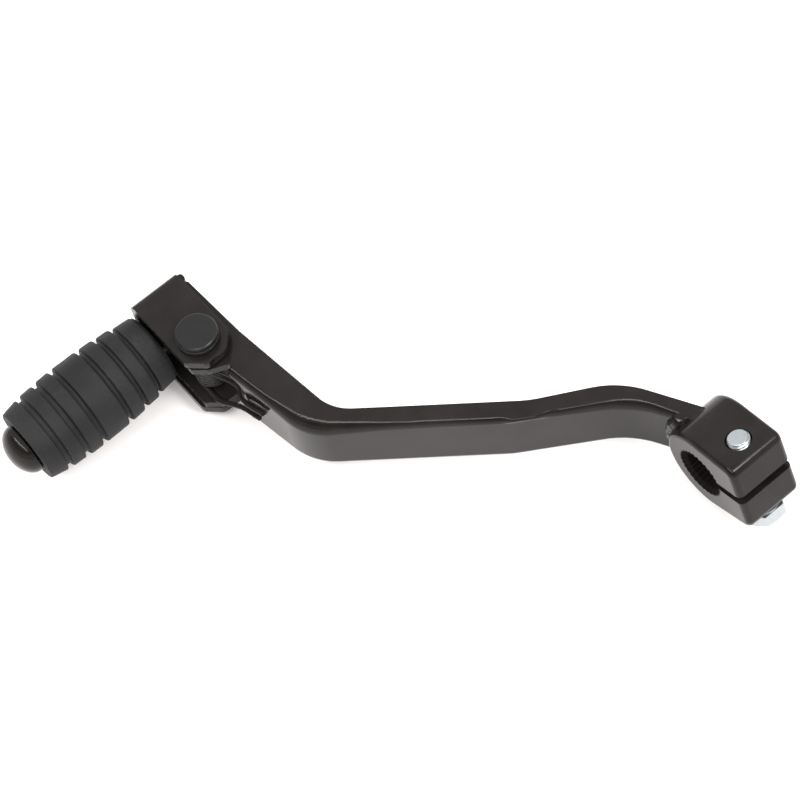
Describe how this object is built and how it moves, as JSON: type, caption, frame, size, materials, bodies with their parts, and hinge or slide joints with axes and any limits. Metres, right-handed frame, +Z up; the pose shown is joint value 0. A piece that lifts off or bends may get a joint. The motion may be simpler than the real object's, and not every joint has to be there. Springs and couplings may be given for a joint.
{
  "type": "gear shift lever",
  "caption": "Foot gear shift lever: splined clamp boss with pinch bolt, cranked channel arm, and a spring-loaded folding toe bracket that carries a ribbed rubber peg.",
  "frame": {"origin": "middle of the splined bore, on its axis", "axes": "+X forward to the toe end, +Y outward along the splined bore, +Z up along the toe bracket's rivet"},
  "size_m": [0.1486, 0.1367, 0.0324],
  "materials": {
    "black_coat": "satin",
    "rivet_black": "satin",
    "spring_steel": "satin",
    "rubber": "matte",
    "zinc": "satin"
  },
  "bodies": {
    "lever": {"clamp_boss": "black_coat", "pinch_bolt": "zinc", "lever_channel": "black_coat", "boss_weld": "black_coat", "torsion_spring": "spring_steel"},
    "toe_piece": {"toe_bracket": "black_coat", "toe_peg": "black_coat", "peg_weld_upper": "black_coat", "peg_weld_lower": "black_coat", "rubber_grip": "rubber", "pivot_rivet": "rivet_black", "upper_washer": "rivet_black", "lower_washer": "rivet_black"}
  },
  "joints": [
    {"name": "toe_fold", "type": "hinge", "parent": "lever", "child": "toe_piece", "pos_m": [0.1064, 0.0756, -0.0016], "axis": [0, 0, 1], "range_deg": [0, 80], "stiffness_Nm_per_rad": 0.3, "springref_deg": -45.84, "deforming": ["torsion_spring"]}
  ]
}
